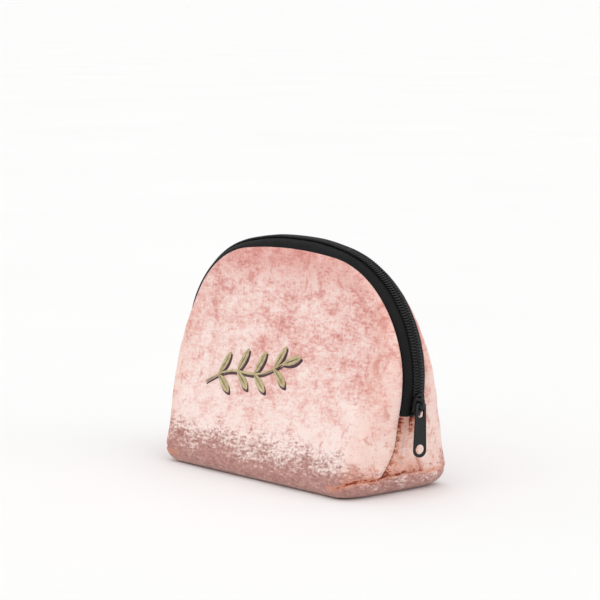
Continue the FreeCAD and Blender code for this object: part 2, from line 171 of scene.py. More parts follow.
def rim_shares(z, turn):
    """How far in from the seam and how far out to the face a turn of the rim is; fuller lower down."""
    fullness = mix(0.78, 1.0, smoothstep(8, 40, z))
    return 1 - max(cos(turn), 0.0) ** fullness, sin(turn) ** fullness


# ---- mesh helpers

def new_mesh(name, points, faces, material, uvs=None):
    """A mesh object from points in millimetres."""
    mesh = bpy.data.meshes.new(name)
    mesh.from_pydata([tuple(c * MM for c in p) for p in points], [], faces)
    if uvs:
        layer = mesh.uv_layers.new(name="UVMap")
        for loop in mesh.loops:
            layer.data[loop.index].uv = uvs[loop.vertex_index]
    mesh.update()
    mesh.polygons.foreach_set("use_smooth", [True] * len(mesh.polygons))
    piece = bpy.data.objects.new(name, mesh)
    bpy.context.scene.collection.objects.link(piece)
    mesh.materials.append(material)
    return piece


MERGE_GRID = 50  # steps per millimetre; points on the same step are one


class Surface:
    """Points and quads, where neighbouring grids share the points along their common edge."""

    def __init__(self):
        self.points, self.faces, self.known = [], [], {}

    def point(self, p):
        key = tuple(round(c * MERGE_GRID) for c in p)
        if key not in self.known:
            self.known[key] = len(self.points)
            self.points.append(Vector(p))
        return self.known[key]

    def grid(self, rows, flip=False):
        """Quads between rows of points that all have the same length."""
        index = [[self.point(p) for p in row] for row in rows]
        for low, high in zip(index, index[1:]):
            for a, b, c, d in zip(low, low[1:], high[1:], high):
                ring = []
                for corner in ((a, b, c, d) if not flip else (d, c, b, a)):
                    if corner not in ring:
                        ring.append(corner)
                if len(ring) > 2:
                    self.faces.append(tuple(ring))

    def normals(self):
        total = [Vector() for _ in self.points]
        for face in self.faces:
            a, b, c = (self.points[i] for i in face[:3])
            d = self.points[face[-1]]
            normal = (c - a).cross(d - b)
            for i in face:
                total[i] += normal
        return [n.normalized() for n in total]

    def rim(self):
        """Directed edges with a face on only one side."""
        seen = set()
        for face in self.faces:
            seen.update(zip(face, face[1:] + face[:1]))
        return [(a, b) for a, b in seen if (b, a) not in seen]


def thick(surface, normals, outer_shift, inner_shift):
    """A closed shell between two offsets of a surface along the normals, with its rim closed."""
    count = len(surface.points)
    outer = [p + n * outer_shift for p, n in zip(surface.points, normals)]
    inner = [p + n * inner_shift for p, n in zip(surface.points, normals)]
    faces = list(surface.faces)
    faces += [tuple(i + count for i in reversed(face)) for face in surface.faces]
    faces += [(b, a, a + count, b + count) for a, b in sorted(surface.rim())]
    return outer + inner, faces


def mirrored(points, faces, axis):
    flipped = [Vector([-c if k == axis else c for k, c in enumerate(p)]) for p in points]
    return flipped, [tuple(reversed(face)) for face in faces]


def tube(path, normals, radius, sides=6, flat=1.0):
    """Points and faces of a tube with closed ends; flat scales it along the given normals."""
    points, faces = [], []
    last = len(path) - 1
    for i, (p, normal) in enumerate(zip(path, normals)):
        along = (path[min(i + 1, last)] - path[max(i - 1, 0)]).normalized()
        across = along.cross(normal).normalized()
        up = across.cross(along)
        for k in range(sides):
            a = 2 * pi * k / sides
            points.append(p + across * (radius * cos(a)) + up * (radius * flat * sin(a)))
    for i in range(last):
        for k in range(sides):
            a, b = i * sides + k, i * sides + (k + 1) % sides
            faces.append((a, b, b + sides, a + sides))
    faces.append(tuple(reversed(range(sides))))
    faces.append(tuple(range(last * sides, (last + 1) * sides)))
    return points, faces


def add(points, faces, more):
    """Adds the points and faces of more to the lists."""
    start = len(points)
    points.extend(more[0])
    faces.extend(tuple(i + start for i in face) for face in more[1])


# ---- node-based materials

class Nodes:
    """A material and short ways to add its nodes."""

    def __init__(self, name, **settings):
        self.material = bpy.data.materials.new(name)
        self.material.use_nodes = True
        self.tree = self.material.node_tree
        self.shader = self.tree.nodes["Principled BSDF"]
        for socket, value in settings.items():
            self.shader.inputs[socket.replace("_", " ")].default_value = value

    def feed(self, socket, value):
        if isinstance(value, bpy.types.NodeSocket):
            self.tree.links.new(value, socket)
        else:
            socket.default_value = value

    def node(self, kind, **inputs):
        made = self.tree.nodes.new(kind)
        for name, value in inputs.items():
            self.feed(made.inputs[name.replace("_", " ")], value)
        return made

    def place(self, scale=(1, 1, 1), turn=(0, 0, 0), source="Object"):
        coordinates = self.node("ShaderNodeTexCoord")
        return self.node(
            "ShaderNodeMapping", Vector=coordinates.outputs[source], Scale=scale, Rotation=turn
        ).outputs["Vector"]

    def noise(self, vector, scale, detail=4.0, roughness=0.55, distortion=0.0):
        return self.node(
            "ShaderNodeTexNoise", Vector=vector, Scale=scale, Detail=detail,
            Roughness=roughness, Distortion=distortion,
        ).outputs["Fac"]

    def ramp(self, value, *stops):
        made = self.node("ShaderNodeValToRGB", Fac=value)
        elements = made.color_ramp.elements
        while len(elements) < len(stops):
            elements.new(0.5)
        for element, (position, colour) in zip(elements, stops):
            element.position = position
            element.color = (*colour, 1)
        return made.outputs["Color"]

    def remap(self, value, to_low, to_high, from_low=0.0, from_high=1.0, kind="LINEAR"):
        made = self.node(
            "ShaderNodeMapRange", Value=value, From_Min=from_low, From_Max=from_high,
            To_Min=to_low, To_Max=to_high,
        )
        made.interpolation_type = kind
        return made.outputs["Result"]

    def step(self, value, low, high):
        """0 below low and 1 above high, smooth between."""
        return self.remap(value, 0.0, 1.0, low, high, "SMOOTHSTEP")

    def math(self, operation, a, b=0.0):
        made = self.tree.nodes.new("ShaderNodeMath")
        made.operation = operation
        self.feed(made.inputs[0], a)
        self.feed(made.inputs[1], b)
        return made.outputs[0]

    def plus(self, total, part, share):
        return self.math("ADD", total, self.math("MULTIPLY", part, share))

    def blend(self, share, a, b):
        made = self.tree.nodes.new("ShaderNodeMix")
        made.data_type = "RGBA"
        made.clamp_result = False
        for place, value in ((0, share), (6, a), (7, b)):
            self.feed(made.inputs[place], (*value, 1) if isinstance(value, tuple) else value)
        return made.outputs[2]

    def bump(self, height, strength, distance):
        made = self.node("ShaderNodeBump", Height=height, Strength=strength, Distance=distance)
        return made.outputs["Normal"]

    def finish(self, colour=None, roughness=None, normal=None):
        for output, socket in ((colour, "Base Color"), (roughness, "Roughness"), (normal, "Normal")):
            if output:
                self.feed(self.shader.inputs[socket], output)
        return self.material


def crushed_velvet():
    """Blush velvet whose pile is crushed into pale, pink and coral patches; darker round the base, partly
    from painted shade where the cloth turns under; with painted shade and bounce light in its seams and
    folds.
    """
    m = Nodes("crushed_velvet", Sheen_Weight=0.4, Sheen_Roughness=0.4, Specular_IOR_Level=0.2)
    m.shader.inputs["Sheen Tint"].default_value = (1.0, 0.88, 0.84, 1)
    straight = m.place()
    slanted = m.place(scale=(1.0, 1.0, 1.5), turn=(0.3, 0.5, 0.2))
    upright = m.place(scale=(1.5, 1.5, 0.9), turn=(0.1, -0.3, 0.0))
    brushed = m.place(scale=(1.0, 1.0, 3.2), turn=(0.15, 0.45, 0.0))
    broad = m.noise(straight, 24, 2, 0.5)
    patches = m.noise(slanted, 80, 8, 0.66, 0.35)
    blots = m.noise(upright, 125, 8, 0.68, 0.4)
    strokes = m.noise(brushed, 260, 5, 0.62, 0.3)
    fine = m.noise(straight, 620, 4, 0.7)
    pile = m.noise(straight, 1700, 3, 0.6)

    height = m.node("ShaderNodeSeparateXYZ", Vector=straight).outputs["Z"]
    brushing = m.remap(height, 0.045, -0.045, 0.022, 0.112)
    value = m.math("MULTIPLY", broad, 0.16)
    for part, share in ((patches, 0.34), (strokes, 0.26), (fine, 0.24)):
        value = m.plus(value, part, share)
    value = m.math("ADD", value, brushing)
    ground = m.ramp(
        value,
        (0.395, (0.60, 0.235, 0.205)),
        (0.445, (0.75, 0.395, 0.355)),
        (0.485, (0.84, 0.545, 0.495)),
        (0.525, (0.885, 0.665, 0.615)),
        (0.570, (0.925, 0.765, 0.715)),
    )
    flecks = m.plus(blots, m.math("SUBTRACT", fine, 0.5), 0.45)
    flecks = m.plus(flecks, brushing, -0.8)
    coordinates = m.node("ShaderNodeSeparateXYZ", Vector=straight).outputs
    length, depth = coordinates["X"], coordinates["Y"]
    at_end = m.step(m.math("ABSOLUTE", length), 0.050, 0.072)
    flecks = m.plus(flecks, at_end, 0.045)
    ground = m.blend(m.math("MULTIPLY", m.step(flecks, 0.575, 0.66), 0.62), ground, (0.60, 0.20, 0.17))

    # The pile lies the other way round the base and, more faintly, under the zip, with ragged edges; round
    # the base the darker colour is also painted shade where the cloth turns under.
    ragged = height
    for part, reach in ((patches, 0.030), (strokes, 0.028), (fine, 0.022)):
        ragged = m.plus(ragged, m.math("SUBTRACT", part, 0.5), reach)
    ragged = m.plus(ragged, length, 0.012)
    in_corner = m.step(m.math("ABSOLUTE", depth), 0.021, 0.030)
    on_gusset = m.math("MULTIPLY", m.step(length, 0.0675, 0.0715), m.math("SUBTRACT", 1.0, in_corner))
    ragged_low = m.plus(ragged, on_gusset, 0.0075)
    # Painted shade where the cloth turns under the base, together with the pile lying the other way.
    pile_and_shade_band = m.math("SUBTRACT", 1.0, m.step(ragged_low, 0.0105, 0.0235))
    shadowed = m.ramp(
        m.plus(m.math("MULTIPLY", strokes, 0.5), fine, 0.5),
        (0.38, (0.30, 0.125, 0.105)),
        (0.47, (0.39, 0.182, 0.155)),
        (0.54, (0.46, 0.232, 0.200)),
        (0.64, (0.63, 0.375, 0.330)),
    )
    ground = m.blend(m.math("MULTIPLY", pile_and_shade_band, 0.92), ground, shadowed)
    top_band = m.math("MULTIPLY", m.step(ragged, 0.092, 0.110), 0.4)
    ground = m.blend(top_band, ground, (0.70, 0.29, 0.25))

    # Painted shade and bounce light where the cloth is sewn, gathered or pulled: orange, then a dark
    # red-brown; near the ends the same attribute also carries a coral tint of the cloth.
    tint_and_shade = m.tree.nodes.new("ShaderNodeAttribute")
    tint_and_shade.attribute_name = "tint_and_crease_shade"
    mottled = m.plus(m.math("MULTIPLY", strokes, 3.8), fine, 3.0)
    mottled = m.math("MAXIMUM", m.math("SUBTRACT", mottled, 2.35), 0.1)
    shade = m.math("MULTIPLY", tint_and_shade.outputs["Fac"], mottled)
    # Painted bounce light and shade: orange where the attribute is middling.
    ground = m.blend(m.math("MINIMUM", m.math("MULTIPLY", shade, 1.6), 0.95), ground, (0.74, 0.30, 0.19))
    # Painted shade: dark red-brown in the deepest creases, seams and gathers.
    ground = m.blend(m.math("MULTIPLY", m.step(shade, 0.46, 0.92), 0.95), ground, (0.21, 0.032, 0.016))

    relief = m.math("MULTIPLY", patches, 0.5)
    for part, share in ((strokes, 0.35), (fine, 0.2), (pile, 0.1)):
        relief = m.plus(relief, part, share)
    return m.finish(ground, m.remap(patches, 0.62, 0.86), m.bump(relief, 0.6, 0.0012))


def woven_lining():
    """Plain dusty-rose polyester with a fine weave."""
    m = Nodes("woven_lining", Roughness=0.55, Sheen_Weight=0.15)
    place = m.place()
    cloud = m.noise(place, 30, 3)
    colour = m.ramp(cloud, (0.3, (0.40, 0.20, 0.19)), (0.7, (0.50, 0.27, 0.25)))
    weave = m.noise(m.place(scale=(1, 1, 6)), 900, 2)
    return m.finish(colour, None, m.bump(weave, 0.4, 0.0003))


def tape_weave():
    """Black polyester tape with fine ribs across it and a dull nap."""
    m = Nodes("tape_weave", Specular_IOR_Level=0.12)
    place = m.place(source="UV")
    ribs = m.node("ShaderNodeTexWave", Vector=place, Scale=420.0, Distortion=0.6, Detail=1.0)
    ribs.inputs["Detail Scale"].default_value = 3.0
    ribs.bands_direction = "DIAGONAL"
    grain = m.noise(m.place(), 700, 4, 0.6)
    cloud = m.noise(m.place(), 90, 3)
    colour = m.ramp(cloud, (0.3, (0.004, 0.004, 0.0042)), (0.7, (0.009, 0.009, 0.0095)))
    colour = m.blend(m.math("MULTIPLY", grain, 0.5), colour, (0.014, 0.0145, 0.015))
    height = m.math("ADD", ribs.outputs["Fac"], grain)
    rough = m.ramp(grain, (0.3, (0.5,) * 3), (0.7, (0.68,) * 3))
    return m.finish(colour, rough, m.bump(height, 0.5, 0.0002))


def nylon_coil():
    """Black nylon monofilament, slightly glossy."""
    m = Nodes("nylon_coil", Specular_IOR_Level=0.35)
    grain = m.noise(m.place(), 600, 3)
    colour = m.ramp(grain, (0.3, (0.006, 0.006, 0.006)), (0.7, (0.015, 0.0155, 0.016)))
    return m.finish(colour, m.ramp(grain, (0.3, (0.3,) * 3), (0.7, (0.45,) * 3)))


def painted_metal(name, dark, light, roughness):
    """Zinc casting under paint, with a slight orange peel and rubbed patches."""
    m = Nodes(name, Specular_IOR_Level=0.25, Coat_Weight=0.12, Coat_Roughness=0.12)
    place = m.place()
    cloud = m.noise(place, 160, 4)
    peel = m.noise(place, 1300, 2)
    colour = m.ramp(cloud, (0.35, dark), (0.7, light))
    rough = m.ramp(cloud, (0.3, (roughness - 0.06,) * 3), (0.7, (roughness + 0.1,) * 3))
    return m.finish(colour, rough, m.bump(peel, 0.12, 0.00012))


def thread(name, dark, light, roughness, sheen):
    """Rayon embroidery thread, a little shinier along the strand."""
    m = Nodes(name, Sheen_Weight=sheen, Specular_IOR_Level=0.5, Anisotropic=0.4)
    place = m.place()
    colour = m.ramp(m.noise(place, 500, 4), (0.3, dark), (0.7, light))
    twist = m.noise(m.place(scale=(1, 1, 2)), 2400, 2)
    rough = m.ramp(twist, (0.3, (roughness,) * 3), (0.7, (roughness + 0.15,) * 3))
    return m.finish(colour, rough, m.bump(twist, 0.3, 0.0001))


velvet = crushed_velvet()
lining_cloth = woven_lining()
black_tape = tape_weave()
black_coil = nylon_coil()
black_gloss = painted_metal("black_slider", (0.003, 0.003, 0.0035), (0.008, 0.0085, 0.009), 0.2)
charcoal = painted_metal("charcoal_puller", (0.008, 0.009, 0.0095), (0.014, 0.016, 0.0165), 0.36)
gold = thread("gold_thread", (0.40, 0.31, 0.14), (0.66, 0.56, 0.33), 0.38, 0.2)
plum = thread("plum_thread", (0.045, 0.012, 0.022), (0.095, 0.028, 0.045), 0.5, 0.2)

# ---- the velvet panels


MID_SHOULDER = radians(48)  # where the outline's side ends and its top begins
LEVEL_UP_TO = 26  # the outline's outward direction is level at the base fold, free here


def outline_point(share):
    """Right half of the panel outline as (x, z, outward x, outward z), from the base up to the crown.
    Share 0 to 1 is the side, up to the middle of the shoulder; 1 to 2 is the top, on to X = 0."""
    if share <= 1:
        rise = SIDE_TOP_Z - BASE_EDGE
        straight = rise / (rise + SHOULDER_RADIUS * (MID_SHOULDER - SIDE_END))
        if share < straight:
            z = mix(BASE_EDGE, SIDE_TOP_Z, share / straight)
            slope = (half_width(z + 0.05) - half_width(z - 0.05)) / 0.1
            out = Vector((1, -slope)).normalized()
            level = smoothstep(BASE_EDGE, LEVEL_UP_TO, z)
            out = Vector((out.x, out.y * level)).normalized()
            return half_width(z), z, out.x, out.y
        angle = mix(SIDE_END, MID_SHOULDER, (share - straight) / (1 - straight))
    else:
        arc = SHOULDER_RADIUS * (SHOULDER_TOP - MID_SHOULDER)
        crown = CROWN_RADIUS * (pi / 2 - SHOULDER_TOP)
        travelled = (share - 1) * (arc + crown)
        if travelled > arc:
            angle = SHOULDER_TOP + (travelled - arc) / CROWN_RADIUS
            x, z = cos(angle), sin(angle)
            return CROWN_RADIUS * x, CROWN_Z + CROWN_RADIUS * z, x, z
        angle = MID_SHOULDER + travelled / SHOULDER_RADIUS
    x, z = cos(angle), sin(angle)
    return SHOULDER.x + SHOULDER_RADIUS * x, SHOULDER.z + SHOULDER_RADIUS * z, x, z


RIM_TURNS = [radians(a) for a in (0, 3, 8, 16, 27, 39, 52, 65, 78, 90)]
SIDE_STEPS = 74
TOP_STEPS = 58
FOLD_TURNS = [asin(1 - BASE_SEAM / BASE_EDGE) * n / 3 for n in range(4)]
FOLD_TURNS += [mix(FOLD_TURNS[-1], pi / 2, n / 16) for n in range(1, 17)]
UNDER_STEPS = 20
SEAM_NARROWING = 3  # the seam's strip is this much narrower, each side, under the base


def rim_point(share, turn, sign):
    """A point of the rim, at a share of the outline and a turn from the seam into the face."""
    x, z, out_x, out_z = outline_point(share)
    inward, outward = rim_shares(z, turn)
    inset = rim_width(z) * inward
    px, pz = x - out_x * inset, z - out_z * inset
    near, far = seam_half(z), half_depth(pz)
    return Vector((sign * px, -mix(near, far, outward), pz))


def face_rows():
    """Rows of points of the flat of the panel, a Coons patch inside the rim."""
    inner = RIM_TURNS[-1]
    shares = [n / SIDE_STEPS for n in range(SIDE_STEPS + 1)]
    right = [rim_point(s, inner, 1) for s in shares]
    left = [rim_point(s, inner, -1) for s in shares]
    half_top = [rim_point(1 + n / TOP_STEPS, inner, 1) for n in range(TOP_STEPS + 1)]
    top = [Vector((-p.x, p.y, p.z)) for p in half_top] + list(reversed(half_top))[1:]
    count = 2 * TOP_STEPS
    bottom = [left[0].lerp(right[0], n / count) for n in range(count + 1)]
    rows = []
    for j, v in enumerate(shares):
        row = []
        for i in range(count + 1):
            u = i / count
            sides = left[j] * (1 - u) + right[j] * u
            ends = bottom[i] * (1 - v) + top[i] * v
            low, high = left[0] * (1 - u) + right[0] * u, top[0] * (1 - u) + top[-1] * u
            corners = low * (1 - v) + high * v
            p = sides + ends - corners
            row.append(Vector((p.x, -half_depth(p.z), p.z)))
        rows.append(row)
    return rows


def section_row(turn):
    """One row round the lower fold: turn 0 is the face at the fold's top, 90 degrees is the underside."""
    z = BASE_EDGE * (1 - sin(turn))
    half_x = half_width(z) - quarter_round(BASE_SIDE, z)
    half_y = half_depth(z) - BASE_EDGE * (1 - cos(turn))
    near = seam_half(z) - SEAM_NARROWING * max(0.0, 1 - z / BASE_SEAM)
    rim = []
    for a in RIM_TURNS:
        inward, outward = rim_shares(z, a)
        rim.append(Vector((half_x - rim_width(z) * inward, -mix(near, half_y, outward), z)))
    left = [Vector((-p.x, p.y, p.z)) for p in rim]
    count = 2 * TOP_STEPS
    flat = [left[-1].lerp(rim[-1], n / count) for n in range(count + 1)]
    return left + flat[1:-1] + list(reversed(rim))


def panel_surface():
    """The front half of the velvet: face, rim, lower fold, half of the underside and the side wraps."""
    surface = Surface()
    surface.grid(face_rows())
    side_shares = [n / SIDE_STEPS for n in range(SIDE_STEPS + 1)]
    top_shares = [1 + n / TOP_STEPS for n in range(TOP_STEPS + 1)]
    for shares in (side_shares, top_shares):
        for sign in (1, -1):
            rows = [[rim_point(s, a, sign) for s in shares] for a in reversed(RIM_TURNS)]
            surface.grid(rows, flip=sign > 0)
    folds = [section_row(a) for a in FOLD_TURNS]
    under = folds[-1]
    inward = [1 - n / UNDER_STEPS for n in range(UNDER_STEPS + 1)]
    steps = [[Vector((p.x, p.y * share, 0)) for p in under] for share in inward]
    surface.grid(list(reversed(folds + steps[1:])))
    wraps = [row for row in folds if row[0].z < BASE_SEAM + 0.01]
    for sign in (1, -1):
        rows = []
        for row in wraps:
            edge = row[-1]
            x = sign * edge.x
            rows.append([Vector((x, edge.y * share, edge.z)) for share in inward])
        surface.grid(rows, flip=sign > 0)
    return surface


def crease(distance, width):
    """A soft valley of depth 1 at distance 0."""
    return exp(-(distance / width) ** 2)


def corner_pull(p):
    """The fold that runs from the foot of each side seam round the corner into the face."""
    reach = BASE_HALF_WIDTH - abs(p.x)
    if abs(p.y) < seam_half(BASE_SEAM) - 2 or p.z > 16 or reach > 24:
        return 0.0
    line = mix(BASE_SEAM - 0.4, 5.6, min(max(reach / 8, 0.0), 1.0)) + 0.4 * sin(reach * 0.5)
    start = smoothstep(seam_half(BASE_SEAM) - 2, seam_half(BASE_SEAM) + 1, abs(p.y))
    return start * crease(p.z - line, 0.95) * (1 - smoothstep(5, 20, reach))


def seam_tuck(p):
    """How far the cloth dips where it is sewn to the tape, to the gusset or to the other half."""
    beside = abs(p.y) - seam_half(p.z)
    if p.z >= BASE_SEAM:
        return max(0.0, 1 - max(beside, 0.0) / 1.1) ** 2
    if abs(p.x) > BASE_HALF_WIDTH - 6:
        return max(0.0, 1 - (BASE_SEAM - p.z) / 1.3) ** 2 * (1 - smoothstep(0, 3, beside))
    return 0.0


def lean(p, beside, front):
    """How far the cloth stands out or in, apart from its slackness: the corners at the slider's end
    are fuller, the far shoulder is flatter, and the front's edge rolls over its seam at that end."""
    right = smoothstep(34, 62, p.x)
    out = 1.1 * right * crease(p.z - 21, 14)
    out -= 1.4 * smoothstep(34, 64, -p.x) * crease(p.z - 72, 22)
    roll = smoothstep(0, 1.4, beside) * (1 - smoothstep(3.5, 10, beside)) * smoothstep(4, 10, p.z)
    return out + (1.35 if front else 0.3) * right * roll


def swell(p):
    """Slackness of the padded cloth, outwards."""
    wide = noise.noise(p / 26) * 0.8
    middle = noise.noise(Vector((p.x + 40, p.y, p.z * 1.6)) / 11) * 0.28
    small = noise.noise(Vector((p.x, p.y - 30, p.z)) / 4.2) * 0.09
    return wide + middle + small - 0.25


def shaped_panel(surface, normals, front):
    """Moves the points for slackness, seams and pulls, and returns how strongly each is tinted: a coral
    tint near the sides, and painted shade in the seam tucks and the pulled corner folds.
    """
    tints_and_shade = []
    seam_depth = 1.0 if front else 0.4
    for i, (p, n) in enumerate(zip(surface.points, normals)):
        beside = abs(p.y) - seam_half(p.z)
        free = smoothstep(0.2, 5, p.z) * smoothstep(0.0, 5.0, beside if p.z >= BASE_SEAM else 5.0)
        pull = corner_pull(p) * seam_depth
        tuck = seam_tuck(p) * seam_depth
        shift = swell(p) * free + lean(p, beside, front) * smoothstep(0.2, 5, p.z)
        surface.points[i] = p + n * (shift - 1.1 * pull - 0.6 * tuck)
        low = 1 - smoothstep(8, 34, p.z)
        at_side = smoothstep(BASE_HALF_WIDTH - 9, BASE_HALF_WIDTH - 2, abs(p.x)) * (0.09 + 0.09 * low)
        at_side *= smoothstep(BASE_SEAM - 3, BASE_SEAM + 2, p.z)
        # Painted shade in the corner pulls and seam tucks, added to the coral tint at the sides.
        tints_and_shade.append(min(1.0, at_side + 0.8 * pull + tuck * (0.12 + 0.6 * low)))
    return tints_and_shade


def keep_tint_and_shade(piece, tints_and_shade):
    attribute = piece.data.attributes.new("tint_and_crease_shade", "FLOAT", "POINT")
    count = len(piece.data.vertices)
    values = (list(tints_and_shade) * (count // max(len(tints_and_shade), 1) + 1))[:count]
    attribute.data.foreach_set("value", values)


LAYERS = (  # name and slot, outer and inner offset from the surface, material
    ("velvet", 0.0, -SHELL, velvet),
    ("lining", -SHELL - LINING_GAP, -SHELL - LINING_GAP - LINING, lining_cloth),
)


def make_panels():
    for side, axis in (("front", None), ("back", 1)):
        surface = panel_surface()
        normals = surface.normals()
        tints_and_shade = shaped_panel(surface, normals, side == "front")
        for layer, near, far, material in LAYERS:
            points, faces = thick(surface, normals, near, far)
            if axis is not None:
                points, faces = mirrored(points, faces, axis)
            piece = new_mesh(f"{side}_{layer}_shell", points, faces, material)
            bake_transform(piece)
            if layer == "velvet":
                keep_tint_and_shade(piece, tints_and_shade)
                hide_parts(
                    "body_velvet", "body_foam", f"{side}_fold_velvet", f"{side}_fold_foam",
                    f"{side}_panel_velvet", f"{side}_panel_foam",
                )
            else:
                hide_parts("body_lining", f"{side}_fold_lining", f"{side}_panel_lining")


# ---- the gussets below the zip ends

GUSSET_ROWS = 60
GUSSET_COLUMNS = 48
GUSSET_TOP = ZIP_END_Z + 1.6
UNDER_TAPE = TAPE_HEIGHT - TAPE_THICKNESS - 0.1  # the gusset rises to the underside of the tape
GATHERS = (  # place across the strip, lean, depth, width and length
    (-3.7, -0.05, 1.7, 1.45, 9.5),
    (3.0, 0.06, 1.9, 1.65, 14.5),
)


def gusset_folds(y, z):
    """Depth of the folds that hang from the cut end of the zip."""
    below = ZIP_END_Z - z
    depth = 0.0
    for place, lean, deep, width, length in GATHERS:
        line = place + lean * below + 0.25 * sin(below * 0.6 + place)
        along = smoothstep(0.3, 3.2, below) * (1 - smoothstep(0.3 * length, length, below))
        narrowed = width * (1 - 0.5 * min(max(below / length, 0.0), 1.0))
        depth += deep * along * crease(y - line, narrowed)
    return depth


def gusset_tint_and_shade(p, folds, base_line, tuck):
    """Painted shade and bounce light: darkest in the gathers, orange beside the front seam and above the
    base seam, paler at the back, lighter on the ridge between the gathers as a painted highlight, and bare
    just under the zip's end.
    """
    front = smoothstep(-1.0, 1.0, -p.y / seam_half(p.z))
    beside_front = 1 - smoothstep(0.5, 6.5, seam_half(p.z) + p.y)
    low = 1 - smoothstep(10, 20, p.z)
    foot = 1 - smoothstep(BASE_SEAM, 16, p.z)
    gathered = smoothstep(ZIP_END_Z - 20, ZIP_END_Z - 8, p.z)
    tint_and_shade = mix(0.18, 0.40, front) + 0.10 * low + 0.10 * gathered
    # Painted highlight on the ridge between the two gathers.
    painted_ridge_highlight = 0.2 * gathered * crease(p.y + 0.4, 1.2)
    tint_and_shade += beside_front * (0.30 + 0.45 * foot)
    tint_and_shade += 0.45 * tuck * mix(0.1, 1.0, front) * (0.4 + 0.6 * low)
    return min(1.0, tint_and_shade + 0.3 * base_line + 0.36 * folds - painted_ridge_highlight) * smoothstep(-0.2, 1.4, ZIP_END_Z - p.z)


def gusset_surface():
    """The flat lie of the gusset, its outward normals, and the shaped surface with its painted shade and
    bounce light.
    """
    surface = Surface()
    turns = [pi * (i / GUSSET_COLUMNS - 0.5) for i in range(GUSSET_COLUMNS + 1)]
    rows = []
    for j in range(GUSSET_ROWS + 1):
        z = mix(BASE_SEAM, GUSSET_TOP, j / GUSSET_ROWS)
        x = half_width(z) - quarter_round(BASE_SIDE, z)
        rows.append([Vector((x, seam_half(z) * sin(a), z)) for a in turns])
    surface.grid(rows)
    normals = surface.normals()
    tints_and_shade = []
    for i, (p, n) in enumerate(zip(surface.points, normals)):
        half = seam_half(p.z)
        across = 1 - (abs(p.y) / half) ** 4
        hollow = (0.7 if p.y > 0 else 1.3) * across * smoothstep(BASE_SEAM, BASE_SEAM + 6, p.z)
        tuck = max(0.0, 1 - (half - abs(p.y)) / 1.1) ** 2 * (1.0 if p.y < 0 else 0.4)
        folds = gusset_folds(p.y, p.z)
        broken = 0.6 + 0.9 * noise.noise(Vector((p.y / 4, 7, 1)))
        base_line = crease(p.z - BASE_SEAM - 0.2, 1.1) * max(0.0, broken)
        ripple = 0.5 * noise.noise(Vector((p.y, p.z * 0.8, 3)) / 7) * across
        sunk = hollow + 0.6 * tuck + folds + 0.6 * base_line + ripple
        sewn_on = mix(UNDER_TAPE, -0.9, smoothstep(3.4, 7.0, abs(p.y)))
        at_tape = smoothstep(ZIP_END_Z - 0.7, ZIP_END_Z + 0.6, p.z)
        surface.points[i] = p + n * mix(-sunk, sewn_on, at_tape)
        tints_and_shade.append(gusset_tint_and_shade(p, folds, base_line, tuck))
    return surface, normals, tints_and_shade


def make_gussets():
    surface, normals, tints_and_shade = gusset_surface()
    for side, flipped in (("right", False), ("left", True)):
        for layer, near, far, material in LAYERS:
            points, faces = thick(surface, normals, near, far)
            if flipped:
                points, faces = mirrored(points, faces, 0)
            piece = new_mesh(f"{side}_gusset_{layer}_cloth", points, faces, material)
            if layer == "velvet":
                keep_tint_and_shade(piece, tints_and_shade)
                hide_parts(f"{side}_gusset_velvet", f"{side}_gusset_foam")
            else:
                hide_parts(f"{side}_gusset_lining")
            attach(piece, "bag_body")


# ---- the zip

ZIP_SHOULDER_LENGTH = SHOULDER_RADIUS * (SHOULDER_TOP - ZIP_END)
ZIP_CROWN_LENGTH = CROWN_RADIUS * 2 * (pi / 2 - SHOULDER_TOP)
ZIP_LENGTH = 2 * ZIP_SHOULDER_LENGTH + ZIP_CROWN_LENGTH
STOP_LENGTH = SHOULDER_RADIUS * radians(1.7)


def arch_point(length, y, height):
    """A point above the seam outline, at a length along it from the right end of the tape."""
    from_middle = abs(length - ZIP_LENGTH / 2)
    raised = CROWN_LIFT * (1 - smoothstep(12, 44, from_middle))
    height += raised * min(max(height / TAPE_HEIGHT, 0.0), 1.0)
    if length <= ZIP_SHOULDER_LENGTH:
        x, z, radius, angle = SHOULDER.x, SHOULDER.z, SHOULDER_RADIUS, ZIP_END + length / SHOULDER_RADIUS
    elif length < ZIP_SHOULDER_LENGTH + ZIP_CROWN_LENGTH:
        angle = SHOULDER_TOP + (length - ZIP_SHOULDER_LENGTH) / CROWN_RADIUS
        x, z, radius = 0.0, CROWN_Z, CROWN_RADIUS
    else:
        rest = length - ZIP_SHOULDER_LENGTH - ZIP_CROWN_LENGTH
        x, z, radius = -SHOULDER.x, SHOULDER.z, SHOULDER_RADIUS
        angle = pi - SHOULDER_TOP + rest / SHOULDER_RADIUS
    reach = radius + height
    return Vector((x + reach * cos(angle), y, z + reach * sin(angle)))


TAPE_OUTSIDE = [
    (0.5, 2.34), (1.6, 2.38), (2.9, 2.4), (3.6, 2.36), (4.4, 2.16), (5.1, 1.86),
    (5.8, 1.45), (6.4, 0.95), (6.75, 0.4), (6.95, -0.15), (7.0, -0.7), (7.15, -1.2),
]
TAPE_EDGE = (7.6, -1.7)  # sewn in between the velvet and the lining
TAPE_STATIONS = 250
TAPE_GIRTH = 0.016  # metres round the tape's section, which scale its weave


